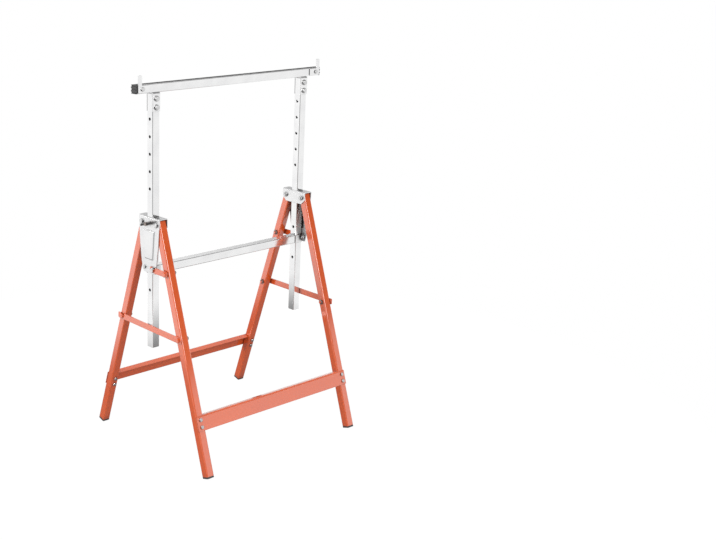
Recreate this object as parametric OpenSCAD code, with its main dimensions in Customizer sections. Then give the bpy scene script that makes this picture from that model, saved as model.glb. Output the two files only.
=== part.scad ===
// Builders trestle: a mast that slides in two pressed heads, carried by two folding leg frames.
// Lengths are in millimetres. +Z is up, the floor is at zero, the front is on -Y, the beam lies along X.

/* [Tubes] */
// Outside width of every square tube
tube_w = 25; // [20:1:40]
// Wall thickness of every square tube
tube_t = 1.5; // [1:0.1:3]
// Corner radius of the beam, the posts and the crossbeam
mast_r = 2.2; // [1.8:0.1:5]
// Corner radius of the leg tubes
leg_r = 4; // [2.5:0.1:8]

/* [Mast] */
// Length of the top beam over its end plugs
beam_len = 706; // [600:1:1400]
// Height of the beam's top face above the floor
beam_top = 1100; // [880:10:2200]
// Distance from the middle to each post and leg plane
post_x = 285; // [230:5:560]
// Distance from the beam's top face to the lower end of a post
post_reach = 775; // [620:5:1550]
// Distance from the beam's top face to the first height hole
hole_first = 100; // [80:5:200]
// Spacing that every height hole keeps a multiple of
hole_pitch = 50; // [40:5:100]
// Diameter of a height hole
hole_d = 9; // [8.5:0.1:18]
// Sheet thickness of the clip between post and beam
clip_t = 2.5; // [2:0.1:5]
// Distance from the beam's underside to the lower edge of a clip
clip_drop = 53; // [42:1:106]
// Distance from the beam's underside to the upper clip bolt
clip_bolt_drop = 17; // [14:1:34]
// Distance between the two clip bolts
clip_bolt_pitch = 25; // [20:1:50]
// Outside radius of the folded clip corners
clip_bend_r = 3.5; // [2.5:0.1:7]

/* [Mast trim] */
// Thickness of the face of a beam plug
plug_face = 5; // [4:0.1:10]
// Depth of the hollow of a plug inside its tube
plug_len = 18; // [14:1:36]
// Wall thickness of a plug
plug_t = 2; // [1.6:0.1:4]
// Depth of the grooves in the face of a beam plug
groove_depth = 2; // [1.6:0.1:3.5]
// Width of a groove in the face of a beam plug
groove_w = 4; // [3.2:0.1:5]
// Width of an end stop plate along the beam
stop_w = 40; // [32:1:80]
// Height of an end stop plate
stop_h = 21; // [17:1:42]
// Width of the upright tab of an end stop
stop_tab_w = 13; // [10:0.5:26]
// Height of the tab above the beam's top face
stop_rise = 26; // [20:1:52]
// Sheet thickness of an end stop
stop_t = 2; // [1.6:0.1:4]
// Distance from the beam's end to the pivot of an end stop
stop_inset = 20; // [18:0.5:40]

/* [Heads] */
// Sheet thickness of a head
head_t = 2.5; // [2:0.1:5]
// Height of the roof of a head above the leg pivots
roof_rise = 19; // [15:0.5:38]
// Gap between the top of an open leg and the roof
roof_gap = 2.7; // [2.2:0.1:5.4]
// Height of the outer plate
plate_h = 166; // [133:1:332]
// Half width of a head at its roof
plate_top_w = 48; // [39:0.5:96]
// Half width of the outer plate at its waist
plate_waist_w = 43.5; // [35:0.5:87]
// Half width of the outer plate at its shoulder
plate_low_w = 35; // [28:0.5:70]
// Half width of the outer plate at its lower edge
plate_end_w = 27; // [22:0.5:54]
// Distance from the roof to the waist
waist_drop = 74; // [60:1:148]
// Distance from the roof to the shoulder
shoulder_drop = 137; // [110:1:274]
// Height of the inner plate
inner_h = 39; // [32:1:78]
// Size of the cut corners of the inner plate
inner_cut = 14; // [11:0.5:28]
// Inside radius of the folds
fold_r = 2; // [1.6:0.1:4]
// How far the panel is pressed outward
panel_rise = 2.5; // [2:0.1:5]
// Distance from the roof to the upper edge of the pressed panel
panel_drop = 38; // [31:1:76]
// Height of the pressed panel
panel_h = 88; // [70:1:176]
// Half width of the panel at its upper edge
panel_top_w = 27; // [22:0.5:54]
// Half width of the panel at its lower edge
panel_end_w = 20; // [16:0.5:40]
// Width of the sloping rim of the panel
panel_slope = 3.5; // [2.8:0.1:7]
// Distance from the roof to the crossbeam's axis
crossbeam_drop = 157; // [126:1:314]
// Sheet thickness of a post guide
guide_t = 2; // [1.6:0.1:4]
// Half width over the flanges of a post guide
guide_reach = 26.5; // [22:0.5:53]
// Height of a post guide flange
guide_flange_h = 19; // [15:0.5:38]
// Distance from the middle to each lower bolt
guide_bolt_y = 21; // [17:0.1:42]
// Height of the lower bolts above the crossbeam's axis
guide_bolt_rise = 4; // [3:0.1:8]

/* [Lock pins] */
// Diameter of a lock pin
lock_d = 8; // [6.5:0.1:16]
// Travel of a lock pin
lock_travel = 6; // [5:0.5:12]
// Distance from the drawn lock pin to the post
lock_draw = 0.4; // [0.3:0.1:0.8]
// Diameter of the knuckle that holds the bar
knuckle_d = 11; // [9:0.1:22]
// Length of the knuckle
knuckle_len = 9; // [7.5:0.1:18]
// Diameter of the bar
bar_d = 6; // [4.8:0.1:12]
// Length of the bar
bar_len = 50; // [40:1:100]
// Tilt of the bar in degrees
bar_tilt = 17.6; // [0:0.1:90]

/* [Leg frames] */
// Height of the leg pivots
pivot_z = 700; // [560:1:1400]
// Distance from the middle to each leg pivot
pivot_y = 34; // [27:0.5:68]
// Distance from the middle to a leg's axis at the floor
foot_y = 260; // [208:1:520]
// Thickness of the part of a foot below its tube
foot_t = 5; // [4:0.1:10]
// Distance along the leg from the pivot to the upper edge of a crossbar
crossbar_drop = 552; // [442:1:1104]
// Height of the web of a crossbar
crossbar_h = 44; // [35:0.5:88]
// Width of the flange of a crossbar
crossbar_flange = 20; // [16:0.5:40]
// Sheet thickness of a crossbar
crossbar_t = 2; // [1.6:0.1:4]
// Inside radius of the fold of a crossbar
crossbar_r = 2; // [1.6:0.1:4]
// Distance from the web's upper edge to the upper bolt
crossbar_bolt_drop = 12; // [9.5:0.1:24]
// Distance between the two bolts at each end
crossbar_bolt_pitch = 21; // [17:0.5:42]
// Distance from a leg to the end of a crossbar's flange
flange_gap = 1.5; // [1.2:0.1:3]

/* [Stays and links] */
// Height of the stays
stay_z = 385; // [308:1:770]
// Height of the flat bar of a stay
stay_h = 18; // [15:0.5:36]
// Thickness of the flat bars
stay_t = 3; // [2.4:0.1:6]
// Length of a stay beyond its pivot
stay_tail = 12.5; // [10:0.5:25]
// Length of a stay beyond its hook
stay_nose = 18; // [14.5:0.5:36]
// Height of the flat bar of a link
link_h = 17; // [15:0.5:34]
// Length of a link beyond its pivot
link_tail = 8.5; // [7:0.1:17]
// Length of a link beyond its hook
link_nose = 13; // [10.5:0.5:26]
// Corner radius of the flat bars
bar_r = 3; // [2.4:0.1:6]
// Opening of a hook on the side of its pivot in degrees
hook_flare = 42; // [35:1:50]

/* [Fasteners] */
// Diameter of the leg pivots, the stay pivots and the hook studs
pivot_d = 8; // [6.4:0.1:16]
// Width across flats of the large heads and nuts
big_af = 13; // [10.4:0.1:26]
// Height of the large heads
big_head = 5; // [4:0.1:10]
// Height of the large nuts
big_nut = 6; // [4.8:0.1:12]
// Diameter of the small bolts
small_d = 6; // [4.8:0.1:12]
// Width across flats of the small heads and nuts
small_af = 10; // [8:0.1:20]
// Height of the small heads
small_head = 4; // [3.2:0.1:8]
// Height of the small nuts
small_nut = 4.8; // [3.8:0.1:9.6]
// Length of thread beyond a nut
tail = 2; // [1.6:0.1:4]
// Diameter of a washer or collar
washer_d = 16.5; // [13:0.1:33]
// Thickness of a washer
washer_t = 1.5; // [1.2:0.1:3]

/* [Fits] */
// Clearance of a shank in its bore, on the diameter
bore_fit = 0.1; // [0.04:0.02:0.2]
// Gap between sliding and turning faces
run_gap = 0.3; // [0.24:0.02:0.6]
// Gap round a stud in a hook
hook_gap = 0.5; // [0.4:0.02:1]
// Gap round a plug in its tube
plug_gap = 0.1; // [0.08:0.01:0.2]

/* [Hidden] */
$fn = 48;
// How far a cut runs past the face it opens
overrun = 1;
// Thickness of the slices that a pressed panel is stretched between
slice_t = 0.02;
// Steps of the height holes below the first one
hole_shares = [0, 1, 2, 3, 4, 6, 8, 10];
// Places of the grooves across the face of a beam plug
groove_shares = [-0.36, 0, 0.36];
// Share of a head's width that its chamfer keeps flat
chamfer_share = 0.94;
// Share of a head's height at which its chamfer starts
chamfer_start_share = 0.7;

half = tube_w / 2;
beam_bottom = beam_top - tube_w;
clip_bottom = beam_bottom - clip_drop;
// The post ends below the round inside of the clip's folds
post_top = beam_bottom - clip_bend_r;
post_bottom = beam_top - post_reach;
stop_x = beam_len / 2 - stop_inset;
stop_z = beam_top - half;
side_x = post_x + half;
// The stop plates end where the faces of the plugs begin
stop_edge = stop_inset - plug_face;
roof_z = pivot_z + roof_rise;
plate_bottom = roof_z - plate_h;
plate_waist_z = roof_z - waist_drop;
plate_low_z = roof_z - shoulder_drop;
inner_bottom = roof_z - inner_h;
panel_top = roof_z - panel_drop;
panel_bottom = panel_top - panel_h;
crossbeam_z = roof_z - crossbeam_drop;
guide_bolt_z = crossbeam_z + guide_bolt_rise;
plate_in = half + run_gap;
plate_out = plate_in + head_t;
guide_in = plate_in + guide_t;
lean = atan((foot_y - pivot_y) / pivot_z);
foot_drop = (pivot_z - half * sin(lean)) / cos(lean);
leg_drop = foot_drop - foot_t;
// The outer corner of a leg's top is the highest
leg_above = (roof_rise - head_t - roof_gap - half * sin(lean)) / cos(lean);
stay_drop = (pivot_z - stay_z) / cos(lean);
stay_y = pivot_y + (pivot_z - stay_z) * tan(lean);
link_drop = (pivot_z - guide_bolt_z) / cos(lean);
link_y = pivot_y + (pivot_z - guide_bolt_z) * tan(lean);
// Gaps from a leg's outer side to the flat bars and to the heads that hold them
stay_u = run_gap;
stay_cap_u = stay_u + stay_t + run_gap;
link_u = run_gap + head_t + run_gap;
link_cap_u = link_u + stay_t + run_gap;
lock_nose = half + lock_draw;
knuckle_mid = plate_out + run_gap + lock_travel + knuckle_len / 2;
crossbar_bolt_drops = [crossbar_drop + crossbar_bolt_drop,
                       crossbar_drop + crossbar_bolt_drop + crossbar_bolt_pitch];

// Shared shapes

module rounded(w, h, r) {
    square([w - 2 * r, h], center = true);
    square([w, h - 2 * r], center = true);
    for (x = [-1, 1], y = [-1, 1])
        translate([x * (w / 2 - r), y * (h / 2 - r)]) circle(r);
}

module tube(len, r) {
    linear_extrude(len) difference() {
        rounded(tube_w, tube_w, r);
        rounded(tube_w - 2 * tube_t, tube_w - 2 * tube_t, r - tube_t);
    }
}

module along_x() {
    rotate([0, 90, 0]) children();
}

// Turns a flat outline so that it stands in the YZ plane and is drawn out along +X
module upright() {
    rotate([90, 0, 90]) children();
}

module across_y() {
    rotate([90, 0, 0]) children();
}

// A hexagon with its outer corners turned off
module hexagon(af, h) {
    intersection() {
        cylinder(h = h, d = af / cos(30), $fn = 6);
        union() {
            cylinder(h = h * chamfer_start_share, d = af / cos(30) + overrun);
            translate([0, 0, h * chamfer_start_share])
                cylinder(h = h * (1 - chamfer_start_share), d1 = af / cos(30), d2 = af * chamfer_share);
        }
    }
}

// A bolt whose shank hangs below zero and whose head stands on zero
module bolt(d, len, af, head) {
    translate([0, 0, -len]) cylinder(h = len, d = d);
    hexagon(af, head);
}

module nut(d, af, h) {
    difference() {
        hexagon(af, h);
        translate([0, 0, -overrun]) cylinder(h = h + 2 * overrun, d = d + bore_fit);
    }
}

module washer(d) {
    difference() {
        cylinder(h = washer_t, d = washer_d);
        translate([0, 0, -overrun]) cylinder(h = washer_t + 2 * overrun, d = d + bore_fit);
    }
}

module bore(d, len) {
    cylinder(h = len, d = d + bore_fit, center = true);
}

// The left side is the right side turned half round, or mirrored where both face the front
module turned() {
    rotate([0, 0, 180]) children();
}

module mirrored() {
    mirror([1, 0, 0]) children();
}

module rear() {
    mirror([0, 1, 0]) children();
}

// A place on the outer side of the right leg plane, drawn outward
module on_side(y, z, u) {
    translate([side_x + u, y, z]) along_x() children();
}

// Mast

module top_beam() {
    color("silver") difference() {
        translate([-beam_len / 2 + plug_face, 0, beam_top - half])
            along_x() tube(beam_len - 2 * plug_face, mast_r);
        for (side = [-1, 1])
            translate([side * stop_x, 0, stop_z]) across_y() bore(small_d, tube_w + 2 * overrun);
    }
}

module beam_plug() {
    color("black") translate([beam_len / 2, 0, beam_top - half]) rotate([0, -90, 0]) {
        difference() {
            linear_extrude(plug_face) rounded(tube_w, tube_w, mast_r);
            for (share = groove_shares)
                translate([share * tube_w, 0, 0])
                    cube([groove_w, tube_w + 2 * overrun, 2 * groove_depth], center = true);
        }
        translate([0, 0, plug_face]) linear_extrude(stop_inset - plug_face - small_d) difference() {
            square(tube_w - 2 * tube_t - 2 * plug_gap - mast_r, center = true);
            square(tube_w - 2 * tube_t - 2 * plug_gap - mast_r - 2 * plug_t, center = true);
        }
    }
}

module beam_plug_right() {
    beam_plug();
}

module beam_plug_left() {
    mirrored() beam_plug();
}

module post() {
    color("silver") difference() {
        translate([post_x, 0, post_bottom]) tube(post_top - post_bottom, mast_r);
        for (share = hole_shares)
            translate([post_x, 0, beam_top - hole_first - share * hole_pitch])
                along_x() cylinder(h = tube_w + 2 * overrun, d = hole_d, center = true);
        for (drop = [clip_bolt_drop, clip_bolt_drop + clip_bolt_pitch])
            translate([post_x, 0, beam_bottom - drop]) across_y() bore(pivot_d, tube_w + 2 * overrun);
    }
}

module post_right() {
    post();
}

module post_left() {
    mirrored() post();
}

module post_clip() {
    color("silver") difference() {
        translate([side_x - tube_w, 0, beam_bottom]) upright() linear_extrude(tube_w) difference() {
            intersection() {
                translate([0, -clip_drop]) rounded(tube_w + 2 * clip_t, 2 * clip_drop, clip_bend_r);
                translate([-tube_w, -clip_drop]) square([2 * tube_w, clip_drop]);
            }
            translate([0, -clip_t - clip_drop]) rounded(tube_w, 2 * clip_drop, clip_bend_r - clip_t);
        }
        for (drop = [clip_bolt_drop, clip_bolt_drop + clip_bolt_pitch])
            translate([post_x, 0, beam_bottom - drop])
                across_y() bore(pivot_d, tube_w + 2 * clip_t + 2 * overrun);
    }
}

module post_clip_right() {
    post_clip();
}

module post_clip_left() {
    mirrored() post_clip();
}

module at_clip_bolts() {
    for (side = [-1, 1], drop = [clip_bolt_drop, clip_bolt_drop + clip_bolt_pitch])
        translate([side * post_x, 0, beam_bottom - drop]) children();
}

module clip_bolts() {
    color("dimgray") at_clip_bolts() translate([0, -half - clip_t, 0]) across_y() {
        washer(pivot_d - bore_fit);
        translate([0, 0, washer_t])
            bolt(pivot_d, washer_t + tube_w + 2 * clip_t + big_nut + tail, big_af, big_head);
    }
}

module clip_nuts() {
    color("dimgray") at_clip_bolts()
        translate([0, half + clip_t, 0]) rotate([-90, 0, 0]) nut(pivot_d, big_af, big_nut);
}

module end_stop() {
    color("silver") translate([stop_x, -half - run_gap, stop_z]) across_y() linear_extrude(stop_t) difference() {
        union() {
            translate([stop_edge - stop_w / 2, 0]) rounded(stop_w, stop_h, bar_r);
            translate([stop_edge - stop_tab_w / 2, (half + stop_rise) / 2])
                rounded(stop_tab_w, half + stop_rise, bar_r);
        }
        circle(d = small_d + bore_fit);
    }
}

module end_stop_right() {
    end_stop();
}

module end_stop_left() {
    mirrored() end_stop();
}

module stop_bolts() {
    color("dimgray") for (side = [-1, 1])
        translate([side * stop_x, -half - stop_t - 2 * run_gap, stop_z]) across_y()
            bolt(small_d, tube_w + stop_t + 2 * run_gap + small_nut + tail, small_af, small_head);
}

module stop_nuts() {
    color("dimgray") for (side = [-1, 1])
        translate([side * stop_x, half, stop_z]) rotate([-90, 0, 0]) nut(small_d, small_af, small_nut);
}

// Heads

// The folded sheet of a head, seen along the beam's cross direction
module head_fold() {
    fold_h = 2 * (roof_z - plate_bottom);
    difference() {
        translate([post_x, roof_z - fold_h / 2]) rounded(2 * plate_out, fold_h, fold_r + head_t);
        translate([post_x, roof_z - head_t - fold_h / 2]) rounded(2 * plate_in, fold_h, fold_r);
    }
}

module outer_outline() {
    polygon([[-plate_end_w, plate_bottom], [-plate_low_w, plate_low_z], [-plate_waist_w, plate_waist_z],
             [-plate_top_w, roof_z - fold_r], [-plate_top_w, roof_z + overrun],
             [plate_top_w, roof_z + overrun], [plate_top_w, roof_z - fold_r],
             [plate_waist_w, plate_waist_z], [plate_low_w, plate_low_z], [plate_end_w, plate_bottom]]);
}

module inner_outline() {
    polygon([[-plate_top_w, roof_z + overrun], [-plate_top_w, inner_bottom + inner_cut],
             [-plate_top_w + inner_cut, inner_bottom], [plate_top_w - inner_cut, inner_bottom],
             [plate_top_w, inner_bottom + inner_cut], [plate_top_w, roof_z + overrun]]);
}

// The pressed panel as a solid block between two slices, its base on zero
module panel_block() {
    hull() {
        linear_extrude(slice_t) polygon([[-panel_end_w, panel_bottom], [panel_end_w, panel_bottom],
                                         [panel_top_w, panel_top], [-panel_top_w, panel_top]]);
        translate([0, 0, panel_rise - slice_t]) linear_extrude(slice_t)
            polygon([[-panel_end_w + panel_slope, panel_bottom + panel_slope],
                     [panel_end_w - panel_slope, panel_bottom + panel_slope],
                     [panel_top_w - panel_slope, panel_top - panel_slope],
                     [-panel_top_w + panel_slope, panel_top - panel_slope]]);
    }
}

module head() {
    color("lightgray") difference() {
        union() {
            intersection() {
                translate([0, plate_top_w, 0]) across_y() linear_extrude(2 * plate_top_w) head_fold();
                union() {
                    translate([post_x - head_t, 0, 0]) upright() linear_extrude(plate_out + head_t) outer_outline();
                    translate([post_x - plate_out, 0, 0]) upright() linear_extrude(plate_out) inner_outline();
                }
            }
            translate([post_x + plate_out, 0, 0]) upright() panel_block();
        }
        translate([post_x + plate_in, 0, 0]) upright() panel_block();
        translate([post_x, 0, roof_z]) cube([2 * plate_in, 2 * plate_in, 2 * fold_r + 2 * head_t], center = true);
        for (y = [-pivot_y, pivot_y])
            translate([post_x, y, pivot_z]) along_x() bore(pivot_d, 2 * plate_out + 2 * overrun);
        for (y = [-guide_bolt_y, guide_bolt_y])
            translate([post_x + plate_out, y, guide_bolt_z]) along_x() bore(small_d, 2 * head_t + 2 * overrun);
        translate([post_x + plate_out, 0, pivot_z]) along_x() bore(lock_d, 2 * head_t + 2 * overrun);
    }
}

module head_right() {
    head();
}

module head_left() {
    turned() head();
}

module crossbeam() {
    color("silver") translate([-post_x + guide_in, 0, crossbeam_z])
        along_x() tube(2 * (post_x - guide_in), mast_r);
}

module post_guide() {
    color("silver") difference() {
        union() {
            translate([post_x, 0, crossbeam_z - half]) linear_extrude(tube_w) difference() {
                translate([-guide_in, -guide_in]) square([guide_in + plate_in, 2 * guide_in]);
                translate([-plate_in, -plate_in]) square([2 * plate_in + overrun, 2 * plate_in]);
            }
            for (side = [-1, 1])
                translate([post_x + plate_in - guide_t, side * (guide_in + guide_reach) / 2,
                           crossbeam_z + half - guide_flange_h / 2])
                    translate([guide_t / 2, 0, 0])
                        cube([guide_t, guide_reach - guide_in, guide_flange_h], center = true);
        }
        for (y = [-guide_bolt_y, guide_bolt_y])
            translate([post_x + plate_in, y, guide_bolt_z]) along_x() bore(small_d, 2 * guide_t + 2 * overrun);
    }
}

module post_guide_right() {
    post_guide();
}

module post_guide_left() {
    turned() post_guide();
}

module pivot_bolts() {
    color("dimgray") for (turn = [0, 180], y = [-pivot_y, pivot_y])
        rotate([0, 0, turn]) translate([post_x + plate_out, y, pivot_z]) along_x()
            bolt(pivot_d, 2 * plate_out + big_nut + tail, big_af, big_head);
}

module pivot_nuts() {
    color("dimgray") for (turn = [0, 180], y = [-pivot_y, pivot_y])
        rotate([0, 0, turn]) translate([post_x - plate_out, y, pivot_z]) rotate([0, -90, 0])
            nut(pivot_d, big_af, big_nut);
}

module guide_bolts() {
    color("dimgray") for (turn = [0, 180])
        rotate([0, 0, turn]) translate([post_x + plate_out, -guide_bolt_y, guide_bolt_z]) along_x()
            bolt(small_d, head_t + guide_t + small_nut + tail, small_af, small_head);
}

module hook_bolts() {
    color("dimgray") for (turn = [0, 180])
        rotate([0, 0, turn]) on_side(guide_bolt_y, guide_bolt_z, link_cap_u) {
            translate([0, 0, -link_cap_u + run_gap + head_t])
                cylinder(h = link_cap_u - run_gap - head_t, d = pivot_d);
            bolt(small_d, link_cap_u - run_gap + guide_t + small_nut + tail, big_af, big_head);
        }
}

module guide_nuts() {
    color("dimgray") for (turn = [0, 180], y = [-guide_bolt_y, guide_bolt_y])
        rotate([0, 0, turn]) translate([post_x + plate_in - guide_t, y, guide_bolt_z]) rotate([0, -90, 0])
            nut(small_d, small_af, small_nut);
}

// Lock pins

module lock_pin() {
    color("dimgray") translate([post_x, 0, pivot_z]) along_x() difference() {
        union() {
            translate([0, 0, lock_nose]) cylinder(h = knuckle_mid - lock_nose, d = lock_d);
            translate([0, 0, knuckle_mid]) cylinder(h = knuckle_len, d = knuckle_d, center = true);
        }
        translate([0, 0, knuckle_mid]) rotate([90, 0, 0]) rotate([0, bar_tilt, 0])
            bore(bar_d, knuckle_d + 2 * overrun);
    }
}

module lock_bar() {
    color("black") translate([post_x + knuckle_mid, 0, pivot_z]) along_x()
        rotate([90, 0, 0]) rotate([0, bar_tilt, 0]) cylinder(h = bar_len, d = bar_d, center = true);
}

module lock_pin_right() {
    lock_pin();
}

module lock_pin_left() {
    turned() lock_pin();
}

module lock_bar_right() {
    lock_bar();
}

module lock_bar_left() {
    turned() lock_bar();
}

// Leg frames, drawn with the pivot axis at zero and the legs hanging straight down

module hang() {
    translate([0, -pivot_y, pivot_z]) rotate([-lean, 0, 0]) children();
}

module leg(linked) {
    color("orangered") difference() {
        translate([post_x, 0, -leg_drop]) tube(leg_drop + leg_above, leg_r);
        for (drop = linked ? [0, stay_drop, link_drop] : [0, stay_drop])
            translate([post_x, 0, -drop]) along_x() bore(pivot_d, tube_w + 2 * overrun);
        for (drop = crossbar_bolt_drops)
            translate([post_x, 0, -drop]) across_y() bore(small_d, tube_w + 2 * overrun);
    }
}

module front_right_leg() {
    hang() leg(false);
}

module front_left_leg() {
    hang() mirrored() leg(true);
}

module rear_right_leg() {
    turned() front_left_leg();
}

module rear_left_leg() {
    turned() front_right_leg();
}

module foot() {
    color("black") translate([post_x, 0, -foot_drop]) {
        linear_extrude(foot_t) rounded(tube_w, tube_w, leg_r);
        translate([0, 0, foot_t]) linear_extrude(plug_len) difference() {
            square(tube_w - 2 * tube_t - 2 * plug_gap - leg_r + tube_t, center = true);
            square(tube_w - 2 * tube_t - 2 * plug_gap - leg_r + tube_t - 2 * plug_t, center = true);
        }
    }
}

module front_right_foot() {
    hang() foot();
}

module front_left_foot() {
    hang() mirrored() foot();
}

module rear_right_foot() {
    turned() front_left_foot();
}

module rear_left_foot() {
    turned() front_right_foot();
}

module crossbar() {
    flange_x = post_x - half - flange_gap;
    color("orangered") difference() {
        translate([-side_x, 0, 0]) upright() linear_extrude(2 * side_x) difference() {
            translate([crossbar_flange - half - crossbar_t, -crossbar_drop - crossbar_h])
                rounded(2 * crossbar_flange, 2 * crossbar_h, crossbar_r + crossbar_t);
            translate([crossbar_flange - half, -crossbar_drop - crossbar_t - crossbar_h])
                rounded(2 * crossbar_flange, 2 * crossbar_h, crossbar_r);
            translate([-half + crossbar_flange - crossbar_t, -crossbar_drop - 2 * crossbar_h])
                square([2 * crossbar_flange, 2 * crossbar_h + overrun]);
            translate([-half - crossbar_t - overrun, -crossbar_drop - 2 * crossbar_h - overrun])
                square([crossbar_flange + overrun, crossbar_h + overrun]);
        }
        for (side = [-1, 1])
            translate([side * (flange_x + tube_w), crossbar_flange - half, -crossbar_drop])
                cube([2 * tube_w, 2 * crossbar_flange, 2 * crossbar_h], center = true);
        for (side = [-1, 1], drop = crossbar_bolt_drops)
            translate([side * post_x, -half, -drop]) across_y() bore(small_d, 2 * crossbar_t + 2 * overrun);
    }
}

module front_crossbar() {
    hang() crossbar();
}

module rear_crossbar() {
    turned() front_crossbar();
}

module front_crossbar_bolts() {
    color("dimgray") hang() for (side = [-1, 1], drop = crossbar_bolt_drops)
        translate([side * post_x, -half - crossbar_t, -drop]) across_y()
            bolt(small_d, crossbar_t + tube_w + small_nut + tail, small_af, small_head);
}

module rear_crossbar_bolts() {
    turned() front_crossbar_bolts();
}

module front_crossbar_nuts() {
    color("dimgray") hang() for (side = [-1, 1], drop = crossbar_bolt_drops)
        translate([side * post_x, half, -drop]) rotate([-90, 0, 0]) nut(small_d, small_af, small_nut);
}

module rear_crossbar_nuts() {
    turned() front_crossbar_nuts();
}

// Stays and links

// A flat bar with its pivot at zero and a hook, open upward, at a distance along -X
module hook_bar(len, h, tail_len, nose_len) {
    notch_r = pivot_d / 2 + hook_gap;
    mouth = h / 2 + overrun;
    linear_extrude(stay_t) difference() {
        translate([(tail_len - len - nose_len) / 2, 0]) rounded(len + tail_len + nose_len, h, bar_r);
        circle(d = pivot_d + bore_fit);
        translate([-len, 0]) circle(notch_r);
        translate([-len, 0]) polygon([[-notch_r, 0], [notch_r, 0],
                                      [notch_r + mouth * tan(hook_flare), mouth], [-notch_r, mouth]]);
    }
}

module stay_right() {
    color("orangered") translate([side_x + stay_u, stay_y, stay_z])
        upright() hook_bar(2 * stay_y, stay_h, stay_tail, stay_nose);
}

module stay_left() {
    turned() stay_right();
}

module stay_pivot_right() {
    color("orangered") on_side(stay_y, stay_z, stay_cap_u)
        bolt(pivot_d, stay_cap_u + tube_w + big_nut + tail, big_af, big_head);
}

module stay_pivot_left() {
    turned() stay_pivot_right();
}

module stay_stud_right() {
    color("orangered") on_side(-stay_y, stay_z, stay_cap_u)
        bolt(pivot_d, stay_cap_u + tube_w + big_nut + tail, big_af, big_head);
}

module stay_stud_left() {
    turned() stay_stud_right();
}

module link_right() {
    color("orangered") translate([side_x + link_u, link_y, guide_bolt_z])
        upright() hook_bar(link_y - guide_bolt_y, link_h, link_tail, link_nose);
}

module link_left() {
    turned() link_right();
}

module link_pivot_right() {
    color("orangered") on_side(link_y, guide_bolt_z, link_cap_u) {
        translate([0, 0, -link_cap_u]) cylinder(h = link_u - run_gap, d = big_af);
        bolt(pivot_d, link_cap_u + tube_w + big_nut + tail, big_af, big_head);
    }
}

module link_pivot_left() {
    turned() link_pivot_right();
}

// The nuts on the inner sides of the front legs: the left pivots of stay and link, the right hook stud
module front_leg_nuts() {
    color("dimgray") {
        turned() for (place = [[stay_y, stay_z], [link_y, guide_bolt_z]])
            translate([side_x - tube_w, place[0], place[1]]) rotate([0, -90, 0]) nut(pivot_d, big_af, big_nut);
        translate([side_x - tube_w, -stay_y, stay_z]) rotate([0, -90, 0]) nut(pivot_d, big_af, big_nut);
    }
}

module rear_leg_nuts() {
    turned() front_leg_nuts();
}

top_beam();
beam_plug_left();
beam_plug_right();
post_left();
post_right();
post_clip_left();
post_clip_right();
clip_bolts();
clip_nuts();
end_stop_left();
end_stop_right();
stop_bolts();
stop_nuts();
head_left();
head_right();
crossbeam();
post_guide_left();
post_guide_right();
pivot_bolts();
pivot_nuts();
guide_bolts();
hook_bolts();
guide_nuts();
lock_pin_left();
lock_pin_right();
lock_bar_left();
lock_bar_right();
front_left_leg();
front_right_leg();
rear_left_leg();
rear_right_leg();
front_left_foot();
front_right_foot();
rear_left_foot();
rear_right_foot();
front_crossbar();
rear_crossbar();
front_crossbar_bolts();
rear_crossbar_bolts();
front_crossbar_nuts();
rear_crossbar_nuts();
stay_left();
stay_right();
stay_pivot_left();
stay_pivot_right();
stay_stud_left();
stay_stud_right();
link_left();
link_right();
link_pivot_left();
link_pivot_right();
front_leg_nuts();
rear_leg_nuts();
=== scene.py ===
"""Looks of a folding builders trestle: its finishes, welds and threads, the studio and the camera."""
import logging
import math
from dataclasses import dataclass, field
from enum import Enum
from typing import Callable, Iterable

import bmesh
import bpy
import numpy as np
from mathutils import Matrix, Vector


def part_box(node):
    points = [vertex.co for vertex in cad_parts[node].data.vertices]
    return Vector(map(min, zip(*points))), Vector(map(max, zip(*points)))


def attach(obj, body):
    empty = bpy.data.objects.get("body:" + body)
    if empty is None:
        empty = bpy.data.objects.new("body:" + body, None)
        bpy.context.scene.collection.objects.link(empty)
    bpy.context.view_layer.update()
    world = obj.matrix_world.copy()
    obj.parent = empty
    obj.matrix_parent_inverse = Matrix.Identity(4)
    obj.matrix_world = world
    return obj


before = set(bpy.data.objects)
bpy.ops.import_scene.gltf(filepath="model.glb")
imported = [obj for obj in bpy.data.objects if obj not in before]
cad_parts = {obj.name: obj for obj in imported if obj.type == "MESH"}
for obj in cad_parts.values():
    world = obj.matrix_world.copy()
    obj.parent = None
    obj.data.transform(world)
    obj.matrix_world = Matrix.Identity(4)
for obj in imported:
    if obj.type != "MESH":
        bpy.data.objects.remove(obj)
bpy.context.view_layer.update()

LOG = logging.getLogger("trestle")

# Photograph's frame in pixels
PHOTO_W = 716
PHOTO_H = 540

# Vertices nearer than this are one, in metres
MERGE_DISTANCE = 1e-6

# Faces that meet at more than this angle keep a sharp edge
SHARP_ANGLE = math.radians(50)

# Distance from the middle where level zinc pieces end and upright ones start, in metres
POST_ZONE = (0.262, 0.268)

# How much faster the drawing lines change along each axis
UPRIGHT_LINES = Vector((4.0, 4.0, 0.03))
LEVEL_LINES = Vector((0.03, 4.0, 4.0))

Colour = tuple[float, float, float, float]


class Body(Enum):
    """The rigid bodies that new pieces ride on."""

    HEADS = "head_frame"
    MAST = "mast"
    FRONT = "front_frame"
    REAR = "rear_frame"
    LEFT_LOCK = "left_lock"
    RIGHT_LOCK = "right_lock"


class Slot(Enum):
    """The record's material slots."""

    ZINC = "bright_zinc"
    PAINT = "orange_paint"
    PLASTIC = "black_plastic"
    BAR = "black_bar"
    STEEL = "fastener_steel"


def rgba(red: float, green: float, blue: float) -> Colour:
    """Give a linear colour its alpha."""
    return (red, green, blue, 1.0)


# Shader node groups


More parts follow.
